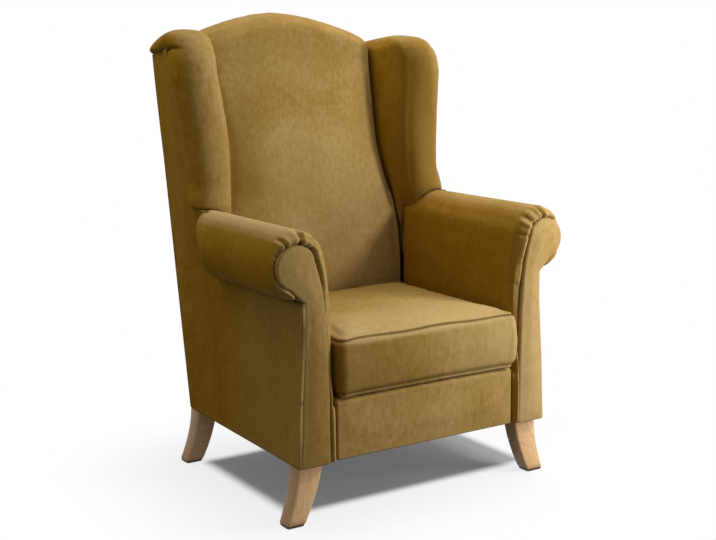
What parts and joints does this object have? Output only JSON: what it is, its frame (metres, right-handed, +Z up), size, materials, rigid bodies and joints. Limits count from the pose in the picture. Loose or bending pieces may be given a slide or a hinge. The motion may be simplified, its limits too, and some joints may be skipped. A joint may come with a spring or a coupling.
{
  "type": "wingback fireside armchair",
  "caption": "Upholstered wingback fireside chair: rolled arms, winged leaning back, loose boxed seat cushion and splayed wooden legs, for sitting on.",
  "frame": {"origin": "on the floor, under the middle of the chair's bounding box", "axes": "+X to the right of someone who looks at the chair's front, -Y out of the front of the seat, +Z up. The chair is alike on both sides of X = 0."},
  "size_m": [0.772, 0.732, 1.096],
  "materials": {
    "velour": "short pile velour",
    "beech": "satin lacquer",
    "frame_wood": "sawn",
    "hardware_steel": "zinc plated",
    "spring_steel": "drawn wire",
    "webbing": "woven",
    "felt": "needled felt",
    "lining": "matte",
    "foam": "open cell",
    "glide_plastic": "matte"
  },
  "bodies": {
    "chair": {"front_rail": "frame_wood", "rear_rail": "frame_wood", "left_side_rail": "frame_wood", "right_side_rail": "frame_wood", "corner_blocks": "frame_wood", "front_left_leg": "beech", "front_right_leg": "beech", "rear_left_leg": "beech", "rear_right_leg": "beech", "leg_bolts": "hardware_steel", "leg_washers": "hardware_steel", "leg_nuts": "hardware_steel", "leg_glides": "glide_plastic", "left_arm_post": "frame_wood", "right_arm_post": "frame_wood", "left_arm_rail": "frame_wood", "right_arm_rail": "frame_wood", "left_arm_slat": "frame_wood", "right_arm_slat": "frame_wood", "left_back_post": "frame_wood", "right_back_post": "frame_wood", "crest_rail": "frame_wood", "lumbar_rail": "frame_wood", "left_wing_board": "frame_wood", "right_wing_board": "frame_wood", "frame_dowels": "beech", "seat_springs": "spring_steel", "spring_clips": "hardware_steel", "tie_wires": "spring_steel", "back_webbing": "webbing", "seat_deck": "felt", "left_arm_pad": "velour", "right_arm_pad": "velour", "left_arm_facing": "velour", "right_arm_facing": "velour", "left_wing_pad": "velour", "right_wing_pad": "velour", "left_outer_side": "velour", "right_outer_side": "velour", "back_pad": "velour", "outer_back": "velour", "front_border": "velour", "dust_cover": "lining"},
    "seat_cushion": {"cushion_cover": "velour", "cushion_core": "foam"}
  },
  "joints": [
    {"name": "cushion_lift", "type": "slide", "parent": "chair", "child": "seat_cushion", "axis": [0, 0, 1], "range_m": [0, 0.4]}
  ]
}
